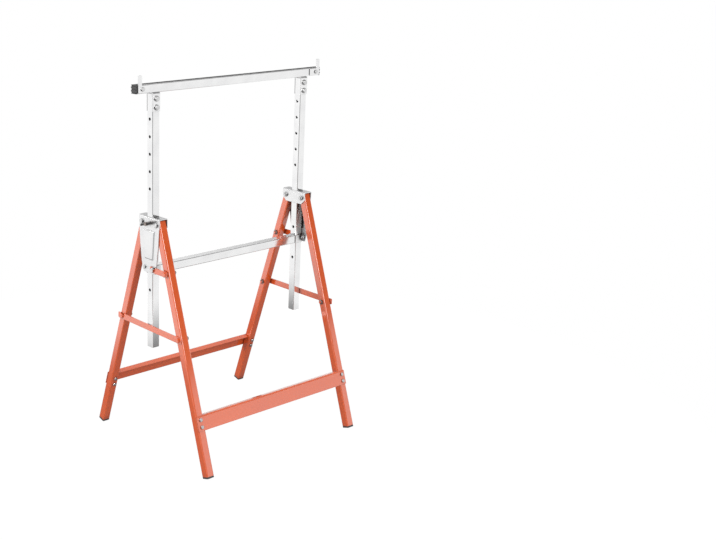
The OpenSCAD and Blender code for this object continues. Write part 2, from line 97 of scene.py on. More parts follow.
class GroupMaker:
    """A shader node group with named sockets, filled in by the functions below."""

    def __init__(self, name: str, inputs: dict[str, float], outputs: Iterable[str]) -> None:
        """Make the group and its sockets.

        Args:
            name: the group's name.
            inputs: name and default of each value that a material sets.
            outputs: names of what the group puts out; one that ends in Normal is a vector.
        """
        self.tree = bpy.data.node_groups.new(name, "ShaderNodeTree")
        for label, default in inputs.items():
            socket = self.tree.interface.new_socket(label, in_out="INPUT", socket_type="NodeSocketFloat")
            socket.default_value = default
        for label in outputs:
            kind = "NodeSocketVector" if label.endswith("Normal") else "NodeSocketFloat"
            self.tree.interface.new_socket(label, in_out="OUTPUT", socket_type=kind)
        self.entry = self.tree.nodes.new("NodeGroupInput")
        self.exit = self.tree.nodes.new("NodeGroupOutput")

    def node(self, kind: str, **settings: object) -> bpy.types.Node:
        """Add a node and set its properties."""
        return add_node(self.tree, kind, **settings)

    def link(self, source: bpy.types.NodeSocket, target: bpy.types.NodeSocket) -> None:
        """Join two sockets."""
        self.tree.links.new(source, target)

    def math(self, operation: str, first: object, second: object = None,
             clamp: bool = False) -> bpy.types.NodeSocket:
        """Add a Math node, with the arguments of calc."""
        return calc(self.tree, operation, first, second, clamp)

    def give(self, label: str, source: bpy.types.NodeSocket) -> None:
        """Join a socket to a named output."""
        self.link(source, self.exit.inputs[label])


def add_node(tree: bpy.types.NodeTree, kind: str, **settings: object) -> bpy.types.Node:
    """Add a node to a tree.

    Args:
        tree: the material's or group's tree.
        kind: Blender's type name.
        settings: properties to set on the node.
    Returns:
        The new node.
    """
    node = tree.nodes.new(kind)
    for label, value in settings.items():
        setattr(node, label, value)
    return node


def plug(tree: bpy.types.NodeTree, value: object, socket: bpy.types.NodeSocket) -> None:
    """Set a socket to a number, or join another socket to it, or leave it alone.

    Args:
        tree: the tree that holds both sockets.
        value: a socket, a number, a colour or None.
        socket: the input to fill.
    """
    if isinstance(value, bpy.types.NodeSocket):
        tree.links.new(value, socket)
    elif value is not None:
        socket.default_value = value


def ramp(tree: bpy.types.NodeTree, source: bpy.types.NodeSocket, low: float, high: float,
         start: float = 0.0, end: float = 1.0) -> bpy.types.NodeSocket:
    """Turn a value into one that runs from start to end, with soft ends.

    Args:
        tree: the tree to add to.
        source: the value.
        low: where it starts.
        high: where it ends.
        start: what comes out up to low.
        end: what comes out from high on.
    Returns:
        The new value.
    """
    node = add_node(tree, "ShaderNodeMapRange", interpolation_type="SMOOTHSTEP", clamp=True)
    values = {"Value": source, "From Min": low, "From Max": high, "To Min": start, "To Max": end}
    for label, value in values.items():
        plug(tree, value, node.inputs[label])
    return node.outputs["Result"]


def calc(tree: bpy.types.NodeTree, operation: str, first: object, second: object = None,
         clamp: bool = False) -> bpy.types.NodeSocket:
    """Add a Math node.

    Args:
        tree: the tree to add to.
        operation: Blender's name of the operation.
        first: a socket or a number.
        second: a socket, a number or nothing.
        clamp: whether the result stays between zero and one.
    Returns:
        The node's output.
    """
    node = add_node(tree, "ShaderNodeMath", operation=operation, use_clamp=clamp)
    for socket, value in zip(node.inputs, (first, second)):
        plug(tree, value, socket)
    return node.outputs[0]


def object_noise(tree: bpy.types.NodeTree, scale: object, detail: float,
                 stretch: Vector | None = None) -> bpy.types.NodeSocket:
    """Noise in the object's own coordinates, in metres.

    Args:
        tree: the tree to add to.
        scale: features per metre, a number or a socket.
        detail: octaves of finer noise.
        stretch: how much faster it changes along each axis.
    Returns:
        The noise value, about one half on average.
    """
    place = add_node(tree, "ShaderNodeTexCoord").outputs["Object"]
    if stretch is not None:
        mapping = add_node(tree, "ShaderNodeMapping", vector_type="POINT")
        mapping.inputs["Scale"].default_value = stretch
        tree.links.new(place, mapping.inputs["Vector"])
        place = mapping.outputs["Vector"]
    noise = add_node(tree, "ShaderNodeTexNoise", noise_dimensions="3D")
    tree.links.new(place, noise.inputs["Vector"])
    plug(tree, scale, noise.inputs["Scale"])
    noise.inputs["Detail"].default_value = detail
    return noise.outputs[0]


def make_edge_wear_and_shade() -> bpy.types.NodeTree:
    """Rubbed edges, and painted shade along the paint's edges: a mask along sharp outer edges, broken up by
    noise, and the rounded normal there.
    """
    maker = GroupMaker("edge_wear_and_shade", {"Radius": 0.0006, "Gain": 4.0, "Breakup": 260.0},
                       ("Mask", "Rounded Normal"))
    bevel = maker.node("ShaderNodeBevel", samples=6)
    maker.link(maker.entry.outputs["Radius"], bevel.inputs["Radius"])
    surface = maker.node("ShaderNodeNewGeometry")
    dot = maker.node("ShaderNodeVectorMath", operation="DOT_PRODUCT")
    maker.link(bevel.outputs["Normal"], dot.inputs[0])
    maker.link(surface.outputs["Normal"], dot.inputs[1])
    turned = maker.math("SUBTRACT", 1.0, dot.outputs["Value"])
    edge = maker.math("MULTIPLY", turned, maker.entry.outputs["Gain"], clamp=True)
    noise = object_noise(maker.tree, maker.entry.outputs["Breakup"], detail=3.0)
    patches = ramp(maker.tree, noise, low=0.46, high=0.66)
    maker.give("Mask", maker.math("MULTIPLY", edge, patches))
    maker.give("Rounded Normal", bevel.outputs["Normal"])
    return maker.tree


def make_surface_grain() -> bpy.types.NodeTree:
    """Grain of a coat or a moulding: a fine height and a slow change of tone."""
    maker = GroupMaker("surface_grain", {"Grain": 900.0, "Cloud": 9.0}, ("Height", "Tone"))
    fine = object_noise(maker.tree, maker.entry.outputs["Grain"], detail=2.0)
    slow = object_noise(maker.tree, maker.entry.outputs["Cloud"], detail=4.0)
    maker.give("Height", fine)
    maker.give("Tone", ramp(maker.tree, slow, low=0.3, high=0.7))
    return maker.tree


def make_settled_dust() -> bpy.types.NodeTree:
    """Dust on what faces up and splashes near the floor."""
    maker = GroupMaker("settled_dust", {"Amount": 0.3, "Floor Reach": 0.16}, ("Mask",))
    surface = maker.node("ShaderNodeNewGeometry")
    split = maker.node("ShaderNodeSeparateXYZ")
    maker.link(surface.outputs["Normal"], split.inputs[0])
    facing = ramp(maker.tree, split.outputs["Z"], low=0.35, high=0.95)
    place = maker.node("ShaderNodeSeparateXYZ")
    maker.link(maker.node("ShaderNodeTexCoord").outputs["Object"], place.inputs[0])
    height = maker.math("DIVIDE", place.outputs["Z"], maker.entry.outputs["Floor Reach"])
    low = maker.math("SUBTRACT", 1.0, height, clamp=True)
    noise = object_noise(maker.tree, scale=140.0, detail=5.0)
    spots = ramp(maker.tree, noise, low=0.48, high=0.72)
    either = maker.math("MAXIMUM", facing, low)
    spotty = maker.math("MULTIPLY", either, spots)
    maker.give("Mask", maker.math("MULTIPLY", spotty, maker.entry.outputs["Amount"]))
    return maker.tree


def make_corner_shade() -> bpy.types.NodeTree:
    """Painted shade in inner corners: a mask that is one where surfaces close in on each other."""
    maker = GroupMaker("corner_shade", {"Reach": 0.004}, ("Mask",))
    closed = maker.node("ShaderNodeAmbientOcclusion", samples=6, only_local=False)
    maker.link(maker.entry.outputs["Reach"], closed.inputs["Distance"])
    hidden = maker.math("SUBTRACT", 1.0, closed.outputs["AO"])
    maker.give("Mask", ramp(maker.tree, hidden, low=0.12, high=0.85))
    return maker.tree


def make_draw_lines() -> bpy.types.NodeTree:
    """Fine lines that drawing and rolling leave along each axis of a zinc piece, and its cloudy plating."""
    maker = GroupMaker("draw_lines", {"Fineness": 240.0}, ("Lines", "Cloud"))
    fineness = maker.entry.outputs["Fineness"]
    upright = object_noise(maker.tree, fineness, detail=3.0, stretch=UPRIGHT_LINES)
    level = object_noise(maker.tree, fineness, detail=3.0, stretch=LEVEL_LINES)
    place = maker.node("ShaderNodeSeparateXYZ")
    maker.link(maker.node("ShaderNodeTexCoord").outputs["Object"], place.inputs[0])
    beside = ramp(maker.tree, maker.math("ABSOLUTE", place.outputs["X"]), *POST_ZONE)
    mix = maker.node("ShaderNodeMix", data_type="FLOAT")
    maker.link(beside, mix.inputs[0])
    maker.link(level, mix.inputs[2])
    maker.link(upright, mix.inputs[3])
    maker.give("Lines", mix.outputs[0])
    cloud = object_noise(maker.tree, scale=22.0, detail=3.0)
    maker.give("Cloud", ramp(maker.tree, cloud, low=0.3, high=0.7))
    return maker.tree


class Effects:
    """The shared node groups, each built once."""

    makers: dict[str, Callable[[], bpy.types.NodeTree]] = {
        "edge_wear_and_shade": make_edge_wear_and_shade,
        "surface_grain": make_surface_grain,
        "settled_dust": make_settled_dust,
        "corner_shade": make_corner_shade,
        "draw_lines": make_draw_lines,
    }
    built: dict[str, bpy.types.NodeTree] = {}

    @classmethod
    def place(cls, tree: bpy.types.NodeTree, name: str, **values: float) -> bpy.types.Node:
        """Put a shared effect into a material.

        Args:
            tree: the material's tree.
            name: the effect's name.
            values: values of its inputs, with _ for a space.
        Returns:
            The group node.
        """
        if name not in cls.built:
            cls.built[name] = cls.makers[name]()
        node = add_node(tree, "ShaderNodeGroup", node_tree=cls.built[name])
        for label, value in values.items():
            node.inputs[label.replace("_", " ")].default_value = value
        return node


# Finishes


class Painter:
    """A material under construction, with its Principled BSDF."""

    def __init__(self, name: str) -> None:
        """Make an empty material that ends in a Principled BSDF."""
        self.material = bpy.data.materials.new(name)
        self.material.use_nodes = True
        self.tree = self.material.node_tree
        self.shader = self.tree.nodes["Principled BSDF"]

    def set(self, **values: object) -> None:
        """Set the shader's own sockets, with _ for a space."""
        for label, value in values.items():
            plug(self.tree, value, self.shader.inputs[label.replace("_", " ")])

    def mix(self, factor: object, first: object, second: object) -> bpy.types.NodeSocket:
        """Mix two colours.

        Args:
            factor: how much of the second, a socket or a number.
            first: a socket or a colour.
            second: a socket or a colour.
        Returns:
            The mixed colour.
        """
        node = add_node(self.tree, "ShaderNodeMix", data_type="RGBA", blend_type="MIX")
        plug(self.tree, factor, node.inputs[0])
        plug(self.tree, first, node.inputs[6])
        plug(self.tree, second, node.inputs[7])
        return node.outputs[2]

    def spread(self, source: bpy.types.NodeSocket, low: float, high: float) -> bpy.types.NodeSocket:
        """Map a value from zero and one to low and high."""
        node = add_node(self.tree, "ShaderNodeMapRange", clamp=True)
        plug(self.tree, source, node.inputs["Value"])
        node.inputs["To Min"].default_value = low
        node.inputs["To Max"].default_value = high
        return node.outputs["Result"]

    def bump(self, height: bpy.types.NodeSocket, depth: float, normal: bpy.types.NodeSocket) -> None:
        """Press a height into the surface.

        Args:
            height: the height, from zero to one.
            depth: what one means, in metres.
            normal: the normal to start from.
        """
        node = add_node(self.tree, "ShaderNodeBump")
        node.inputs["Strength"].default_value = 1.0
        node.inputs["Distance"].default_value = depth
        plug(self.tree, height, node.inputs["Height"])
        plug(self.tree, normal, node.inputs["Normal"])
        plug(self.tree, node.outputs["Normal"], self.shader.inputs["Normal"])


@dataclass(frozen=True)
class PowderCoat:
    """Baked orange paint with a faint orange-peel skin, painted shade in its corners and painted shade along
    its edges.
    """

    name: str = "powder_coat"
    colour: Colour = rgba(0.80, 0.112, 0.014)
    shade: Colour = rgba(0.74, 0.095, 0.011)
    # Painted shade in corners and under the heads
    painted_shade: Colour = rgba(0.14, 0.014, 0.008)
    painted_shade_share: float = 0.6
    # Painted shade along the edges
    edge: Colour = rgba(0.40, 0.030, 0.010)
    edge_shade_share: float = 0.5
    dust: Colour = rgba(0.52, 0.42, 0.36)
    roughness: tuple[float, float] = (0.14, 0.22)
    peel_depth: float = 0.000012
    specular: float = 1.0
    coat: float = 1.0
    coat_roughness: float = 0.06
    coat_ior: float = 2.0

    def material(self) -> bpy.types.Material:
        """Build the paint."""
        paint = Painter(self.name)
        grain = Effects.place(paint.tree, "surface_grain", Grain=520.0, Cloud=7.0)
        edge_mask = Effects.place(paint.tree, "edge_wear_and_shade", Radius=0.0014, Gain=5.0, Breakup=60.0)
        dust = Effects.place(paint.tree, "settled_dust", Amount=0.07)
        corner = Effects.place(paint.tree, "corner_shade", Reach=0.036)
        coat = paint.mix(grain.outputs["Tone"], self.shade, self.colour)
        # Painted shade where surfaces close in
        coat = paint.mix(paint.spread(corner.outputs["Mask"], 0.0, self.painted_shade_share), coat, self.painted_shade)
        # Painted shade along the edges, in patches
        coat = paint.mix(paint.spread(edge_mask.outputs["Mask"], 0.0, self.edge_shade_share), coat, self.edge)
        coat = paint.mix(dust.outputs["Mask"], coat, self.dust)
        paint.set(Base_Color=coat, Roughness=paint.spread(grain.outputs["Tone"], *self.roughness),
                  Specular_IOR_Level=self.specular, Coat_Weight=self.coat,
                  Coat_Roughness=self.coat_roughness, Coat_IOR=self.coat_ior)
        paint.bump(grain.outputs["Height"], self.peel_depth, edge_mask.outputs["Rounded Normal"])
        return paint.material


@dataclass(frozen=True)
class BrightZinc:
    """Bright plated sheet and tube with drawing lines, a cloudy plating and painted shade in its corners."""

    name: str = "bright_zinc"
    colour: Colour = rgba(0.94, 0.94, 0.94)
    cloud: Colour = rgba(0.87, 0.87, 0.875)
    # Painted shade in corners
    painted_shade: Colour = rgba(0.06, 0.058, 0.056)
    painted_shade_share: float = 0.9
    rubbed: Colour = rgba(0.62, 0.62, 0.63)
    wear_share: float = 0.5
    roughness: tuple[float, float] = (0.07, 0.19)
    line_depth: float = 0.000006
    corner_reach: float = 0.006

    def material(self) -> bpy.types.Material:
        """Build the plating."""
        paint = Painter(self.name)
        lines = Effects.place(paint.tree, "draw_lines", Fineness=240.0)
        edge_mask = Effects.place(paint.tree, "edge_wear_and_shade", Radius=0.0005, Gain=2.0, Breakup=210.0)
        corner = Effects.place(paint.tree, "corner_shade", Reach=self.corner_reach)
        plate = paint.mix(lines.outputs["Cloud"], self.cloud, self.colour)
        # Painted shade where surfaces close in
        plate = paint.mix(paint.spread(corner.outputs["Mask"], 0.0, self.painted_shade_share), plate, self.painted_shade)
        plate = paint.mix(paint.spread(edge_mask.outputs["Mask"], 0.0, self.wear_share), plate, self.rubbed)
        paint.set(Base_Color=plate, Metallic=1.0,
                  Roughness=paint.spread(lines.outputs["Lines"], *self.roughness))
        paint.bump(lines.outputs["Lines"], self.line_depth, edge_mask.outputs["Rounded Normal"])
        return paint.material


@dataclass(frozen=True)
class FastenerSteel:
    """Zinc-plated bolts and nuts, duller in random patches, with painted shade in their corners."""

    name: str = "fastener_steel"
    colour: Colour = rgba(0.80, 0.80, 0.80)
    dull: Colour = rgba(0.60, 0.60, 0.60)
    # Painted shade in corners
    painted_shade: Colour = rgba(0.02, 0.019, 0.018)
    rubbed: Colour = rgba(0.75, 0.75, 0.76)
    wear_share: float = 0.5
    roughness: tuple[float, float] = (0.12, 0.26)
    grain_depth: float = 0.00003

    def material(self) -> bpy.types.Material:
        """Build the plating of the fasteners."""
        paint = Painter(self.name)
        grain = Effects.place(paint.tree, "surface_grain", Grain=1400.0, Cloud=160.0)
        edge_mask = Effects.place(paint.tree, "edge_wear_and_shade", Radius=0.0004, Gain=3.0, Breakup=420.0)
        corner = Effects.place(paint.tree, "corner_shade", Reach=0.009)
        plate = paint.mix(grain.outputs["Tone"], self.dull, self.colour)
        # Painted shade round heads and nuts where surfaces close in
        plate = paint.mix(corner.outputs["Mask"], plate, self.painted_shade)
        plate = paint.mix(paint.spread(edge_mask.outputs["Mask"], 0.0, self.wear_share), plate, self.rubbed)
        paint.set(Base_Color=plate, Metallic=1.0,
                  Roughness=paint.spread(grain.outputs["Tone"], *self.roughness))
        paint.bump(grain.outputs["Height"], self.grain_depth, edge_mask.outputs["Rounded Normal"])
        return paint.material


@dataclass(frozen=True)
class MouldedPlastic:
    """Black moulded plastic of the plugs and feet, with painted shade in its grooves, scuffed grey where it
    rubs.
    """

    colour: Colour = rgba(0.050, 0.050, 0.051)
    scuff: Colour = rgba(0.13, 0.128, 0.125)
    scuff_share: float = 0.8
    # Painted shade in grooves and corners
    groove_shade: Colour = rgba(0.006, 0.006, 0.006)
    dust: Colour = rgba(0.22, 0.21, 0.19)
    roughness: tuple[float, float] = (0.42, 0.62)
    grain_depth: float = 0.00006

    def material(self) -> bpy.types.Material:
        """Build the plastic."""
        paint = Painter("moulded_plastic")
        grain = Effects.place(paint.tree, "surface_grain", Grain=1800.0, Cloud=60.0)
        edge_mask = Effects.place(paint.tree, "edge_wear_and_shade", Radius=0.0008, Gain=3.0, Breakup=300.0)
        dust = Effects.place(paint.tree, "settled_dust", Amount=0.25, Floor_Reach=0.03)
        corner = Effects.place(paint.tree, "corner_shade", Reach=0.005)
        # Painted shade in the grooves
        moulding = paint.mix(corner.outputs["Mask"], self.colour, self.groove_shade)
        scuffed = paint.spread(edge_mask.outputs["Mask"], 0.0, self.scuff_share)
        moulding = paint.mix(scuffed, moulding, self.scuff)
        moulding = paint.mix(dust.outputs["Mask"], moulding, self.dust)
        paint.set(Base_Color=moulding, Roughness=paint.spread(grain.outputs["Tone"], *self.roughness))
        paint.bump(grain.outputs["Height"], self.grain_depth, edge_mask.outputs["Rounded Normal"])
        return paint.material


@dataclass(frozen=True)
class BlackCoat:
    """Black dip coat of the lock bars, worn to steel at their ends."""

    colour: Colour = rgba(0.014, 0.014, 0.015)
    steel: Colour = rgba(0.20, 0.20, 0.20)
    wear_share: float = 0.4
    roughness: tuple[float, float] = (0.45, 0.6)
    grain_depth: float = 0.00004

    def material(self) -> bpy.types.Material:
        """Build the coat."""
        paint = Painter("black_coat")
        grain = Effects.place(paint.tree, "surface_grain", Grain=1100.0, Cloud=120.0)
        edge_mask = Effects.place(paint.tree, "edge_wear_and_shade", Radius=0.0006, Gain=4.0, Breakup=360.0)
        worn = paint.spread(edge_mask.outputs["Mask"], 0.0, self.wear_share)
        coat = paint.mix(worn, self.colour, self.steel)
        paint.set(Base_Color=coat, Roughness=paint.spread(grain.outputs["Tone"], *self.roughness))
        paint.bump(grain.outputs["Height"], self.grain_depth, edge_mask.outputs["Rounded Normal"])
        return paint.material


@dataclass(frozen=True)
class WeldMetal:
    """Rippled weld metal, brown-grey beside the bead."""

    colour: Colour = rgba(0.42, 0.41, 0.40)
    scorch: Colour = rgba(0.17, 0.14, 0.12)
    roughness: tuple[float, float] = (0.35, 0.55)
    grain_depth: float = 0.00008

    def material(self) -> bpy.types.Material:
        """Build the weld metal."""
        paint = Painter("weld_metal")
        grain = Effects.place(paint.tree, "surface_grain", Grain=900.0, Cloud=220.0)
        edge_mask = Effects.place(paint.tree, "edge_wear_and_shade", Radius=0.0003, Gain=2.0, Breakup=500.0)
        bead = paint.mix(grain.outputs["Tone"], self.scorch, self.colour)
        paint.set(Base_Color=bead, Metallic=1.0,
                  Roughness=paint.spread(grain.outputs["Tone"], *self.roughness))
        paint.bump(grain.outputs["Height"], self.grain_depth, edge_mask.outputs["Rounded Normal"])
        return paint.material


class FinishShelf:
    """Every finish, made once and handed out by slot."""

    def __init__(self) -> None:
        """Make the materials."""
        self.by_slot: dict[Slot, bpy.types.Material] = {
            Slot.PAINT: PowderCoat().material(),
            Slot.ZINC: BrightZinc().material(),
            Slot.STEEL: FastenerSteel().material(),
            Slot.PLASTIC: MouldedPlastic().material(),
            Slot.BAR: BlackCoat().material(),
        }
        self.weld = WeldMetal().material()
        # Satin plating of the pressed sheet; its long corner reach paints deep shade inside the heads
        self.satin = BrightZinc(name="satin_zinc", colour=rgba(0.88, 0.88, 0.88),
                                cloud=rgba(0.82, 0.82, 0.825), roughness=(0.28, 0.36),
                                corner_reach=0.05).material()
        self.dull = FastenerSteel(name="dull_steel", colour=rgba(0.34, 0.30, 0.28),
                                  dull=rgba(0.24, 0.20, 0.18), roughness=(0.4, 0.55)).material()

    @staticmethod
    def dress(node: str, finish: bpy.types.Material) -> None:
        """Give a CAD node its finish.

        Args:
            node: the node's name.
            finish: its material.
        """
        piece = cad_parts[node]
        piece.data.materials.clear()
        piece.data.materials.append(finish)


# Shapes


def node_points(node: str) -> np.ndarray:
    """A CAD node's vertices in metres."""
    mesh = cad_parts[node].data
    flat = np.zeros(len(mesh.vertices) * 3)
    mesh.vertices.foreach_get("co", flat)
    return flat.reshape(-1, 3)


def node_solids(node: str) -> list[np.ndarray]:
    """The vertices of each separate solid of a CAD node.

    Args:
        node: the node's name.
    Returns:
        One array of points per solid.
    """
    shell = bmesh.new()
    shell.from_mesh(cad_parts[node].data)
    bmesh.ops.remove_doubles(shell, verts=shell.verts, dist=MERGE_DISTANCE)
    left = set(shell.verts)
    solids = []
    while left:
        todo = [left.pop()]
        found = []
        while todo:
            corner = todo.pop()
            found.append(tuple(corner.co))
            for edge in corner.link_edges:
                other = edge.other_vert(corner)
                if other in left:
                    left.remove(other)
                    todo.append(other)
        solids.append(np.array(found))
    shell.free()
    return solids


def long_axis(points: np.ndarray) -> Vector:
    """The direction in which a set of points reaches furthest."""
    centred = points - points.mean(axis=0)
    return Vector(np.linalg.svd(centred, full_matrices=False)[2][0]).normalized()


def end_circle(points: np.ndarray, axis: Vector, slack: float = 1e-5) -> tuple[Vector, float]:
    """The round end of a solid.

    Args:
        points: the solid's vertices.
        axis: the direction that the end faces.
        slack: how far from the last point a vertex still counts, in metres.
    Returns:
        The centre of the end and its radius.
    """
    reach = points @ np.array(axis)
    rim = points[reach > reach.max() - slack]
    centre = rim.mean(axis=0)
    return Vector(centre), float(np.linalg.norm(rim - centre, axis=1).max())


def add_piece(name: str, shell: bmesh.types.BMesh, finish: bpy.types.Material, body: Body) -> None:
    """Turn a mesh under construction into a piece of the object.

    Args:
        name: the piece's name.
        shell: its mesh, in the part's frame; it is freed.
        finish: its material.
        body: the body it rides on.
    """
    bmesh.ops.recalc_face_normals(shell, faces=shell.faces)
    mesh = bpy.data.meshes.new(name)
    shell.to_mesh(mesh)
    shell.free()
    mesh.materials.append(finish)
    mesh.shade_smooth()
    mesh.set_sharp_from_angle(angle=SHARP_ANGLE)
    piece = bpy.data.objects.new(name, mesh)
    bpy.context.scene.collection.objects.link(piece)
    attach(piece, body.value)
    LOG.info("%s rides on %s", name, body.value)


def sweep(shell: bmesh.types.BMesh, rings: list[list[Vector]]) -> None:
    """Skin rings of points into one closed tube with capped ends.

    Args:
        shell: the mesh to add to.
        rings: equally long rings, in order.
    """
    corners = [[shell.verts.new(point) for point in ring] for ring in rings]
    for ring, following in zip(corners, corners[1:]):
        count = len(ring)
        for index in range(count):
            after = (index + 1) % count
            shell.faces.new((ring[index], ring[after], following[after], following[index]))
    shell.faces.new(corners[0])
    shell.faces.new(corners[-1])


def square_to(axis: Vector) -> Matrix:
    """A rotation that takes +Z to an axis."""
    return Vector((0.0, 0.0, 1.0)).rotation_difference(axis).to_matrix()


@dataclass
class ScrewThread:
    """The ridge of a thread on a bolt's tail, and how finely it is cut."""

    pitch_share: float = 0.155
    height_share: float = 0.075
    root_share: float = 0.02
    ridge_share: float = 0.9
    fade_rate: float = 4.0
    length: float = 0.0018
    steps: int = 20
    fewest_steps: int = 3

    def cut(self, shell: bmesh.types.BMesh, tip: Vector, radius: float, axis: Vector) -> None:
        """Wind one ridge round a tail.

        Args:
            shell: the mesh to add to.
            tip: the centre of the tail's end.
            radius: the tail's radius.
            axis: the direction from the head to the tail's end.
        """
        pitch = 2 * radius * self.pitch_share
        turns = (self.length - pitch) / pitch
        frame_of_tail = square_to(axis)
        rings = []
        count = max(self.fewest_steps, round(turns * self.steps))
        for step in range(count + 1):
            angle = 2 * math.pi * turns * step / count
            along = (self.length - pitch) * step / count - self.length + pitch / 2
            fade = min(1.0, self.fade_rate * step / count, self.fade_rate * (count - step) / count)
            out = Vector((math.cos(angle), math.sin(angle), 0.0))
            ring = []
            crest = self.height_share * fade
            for side, share in ((-0.5, -self.root_share), (0.0, crest), (0.5, -self.root_share)):
                height = along + side * pitch * self.ridge_share
                point = out * radius * (1 + 2 * share) + Vector((0.0, 0.0, height))
                ring.append(tip + frame_of_tail @ point)
            rings.append(ring)
        sweep(shell, rings)


@dataclass
class WeldBead:
    """A short fillet weld with overlapping ripples."""

    radius: float = 0.0017
    ripple: float = 0.0021
    ripple_share: float = 0.13
    end_share: float = 0.35
    end_rate: float = 6.0
    sides: int = 10
    rings_per_ripple: int = 6
    fewest_rings: int = 8

    def lay(self, shell: bmesh.types.BMesh, start: Vector, end: Vector) -> None:
        """Lay one straight bead.

        Args:
            shell: the mesh to add to.
            start: one end of the corner that it fills.
            end: the other end.
        """
        run = end - start
        turn = square_to(run.normalized())
        count = max(self.fewest_rings, round(run.length / self.ripple * self.rings_per_ripple))
        rings = []
        for step in range(count + 1):
            share = step / count
            phase = (share * run.length / self.ripple) % 1.0
            close = min(1.0, self.end_share + self.end_rate * min(share, 1 - share))
            size = self.radius * close * (1 - self.ripple_share * phase)
            middle = start + run * share
            ring = []
            for side in range(self.sides):
                angle = 2 * math.pi * side / self.sides
                ring.append(middle + turn @ Vector((math.cos(angle) * size, math.sin(angle) * size, 0.0)))
            rings.append(ring)
        sweep(shell, rings)


# Sub-assemblies


@dataclass
class SubAssembly:
    """Nodes that share a body, with the finish of each."""

    shelf: FinishShelf
    finishes: dict[Slot, tuple[str, ...]] = field(default_factory=dict)
    thread: ScrewThread = field(default_factory=ScrewThread)

    def dress(self) -> None:
        """Give every node of the sub-assembly its finish."""
        for slot, nodes in self.finishes.items():
            for node in nodes:
                self.shelf.dress(node, self.shelf.by_slot[slot])
                LOG.info("%s takes %s", node, slot.value)

    def thread_tails(self, name: str, bolts: dict[str, Vector | None], body: Body) -> None:
        """Cut the thread on the tails of some bolts.

        Args:
            name: the new piece's name.
            bolts: bolt nodes and the direction of their tails, or None where tails point to the middle.
            body: the body that the bolts ride on.
        """
        shell = bmesh.new()
        for node, axis in bolts.items():
            for points in node_solids(node):
                inward = Vector((-math.copysign(1.0, points[:, 0].mean()), 0.0, 0.0))
                tail = axis or inward
                tip, radius = end_circle(points, tail)
                self.thread.cut(shell, tip, radius, tail)
        add_piece(name, shell, self.shelf.by_slot[Slot.STEEL], body)


@dataclass
class Mast(SubAssembly):
    """The beam on its two posts."""

    finishes: dict[Slot, tuple[str, ...]] = field(default_factory=lambda: {
        Slot.ZINC: ("top_beam", "post_left", "post_right", "post_clip_left", "post_clip_right",
                    "end_stop_left", "end_stop_right"),
        Slot.PLASTIC: ("beam_plug_left", "beam_plug_right"),
        Slot.STEEL: ("clip_bolts", "clip_nuts", "stop_bolts", "stop_nuts"),
    })

    def build(self) -> None:
        """Thread the tails of the clip and stop bolts, which point to the rear."""
        rearward = Vector((0.0, 1.0, 0.0))
        self.thread_tails("mast_bolt_threads", {"clip_bolts": rearward, "stop_bolts": rearward}, Body.MAST)


@dataclass
class Heads(SubAssembly):
    """The pressed heads, the crossbeam that joins them and the lock pins."""

    finishes: dict[Slot, tuple[str, ...]] = field(default_factory=lambda: {
        Slot.ZINC: ("head_left", "head_right", "crossbeam", "post_guide_left", "post_guide_right"),
        Slot.STEEL: ("pivot_bolts", "pivot_nuts", "guide_bolts", "hook_bolts", "guide_nuts",
                     "lock_pin_left", "lock_pin_right"),
        Slot.BAR: ("lock_bar_left", "lock_bar_right"),
    })
    bead: WeldBead = field(default_factory=WeldBead)
    bead_inset: float = 0.002
    tip_share: float = 0.42
    tip_sweep: float = 0.97
    tip_rings: int = 5
    tip_sides: int = 24

    def dress(self) -> None:
        """Give the nodes their finishes, the pressed sheet its satin plating and the pins a duller one."""
        super().dress()
        for node in ("head_left", "head_right", "post_guide_left", "post_guide_right"):
            self.shelf.dress(node, self.shelf.satin)
        for node in ("lock_pin_left", "lock_pin_right"):
            self.shelf.dress(node, self.shelf.dull)

    def build(self) -> None:
        """Weld the crossbeam, thread the bolts and round the ends of the lock bars."""
        self.weld_crossbeam()
        inward: dict[str, Vector | None] = dict.fromkeys(("pivot_bolts", "guide_bolts", "hook_bolts"))
        self.thread_tails("head_bolt_threads", inward, Body.HEADS)
        self.round_bar("lock_bar_left", Body.LEFT_LOCK)
        self.round_bar("lock_bar_right", Body.RIGHT_LOCK)

    def weld_crossbeam(self) -> None:
        """Lay an upright bead in each corner between the crossbeam and a post guide."""
        low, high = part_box("crossbeam")
        shell = bmesh.new()
        for x in (low.x, high.x):
            for y in (low.y, high.y):
                start = Vector((x, y, low.z + self.bead_inset))
                end = Vector((x, y, high.z - self.bead_inset))
                self.bead.lay(shell, start, end)
        add_piece("crossbeam_welds", shell, self.shelf.weld, Body.HEADS)

    def round_bar(self, node: str, body: Body) -> None:
        """Put a low dome on both ends of a lock bar.

        Args:
            node: the bar's node.
            body: the body that it rides on.
        """
        points = node_points(node)
        direction = long_axis(points)
        shell = bmesh.new()
        for axis in (direction, -direction):
            centre, radius = end_circle(points, axis)
            turn = square_to(axis)
            rings = []
            for step in range(self.tip_rings + 1):
                angle = self.tip_sweep * math.pi / 2 * step / self.tip_rings
                size = radius * math.cos(angle)
                rise = radius * self.tip_share * math.sin(angle)
                rings.append([centre + turn @ Vector((math.cos(side) * size, math.sin(side) * size, rise))
                              for side in np.linspace(0, 2 * math.pi, self.tip_sides, endpoint=False)])
            sweep(shell, rings)
        name = node.replace("lock_bar", "lock_bar_ends")
        add_piece(name, shell, self.shelf.by_slot[Slot.BAR], body)


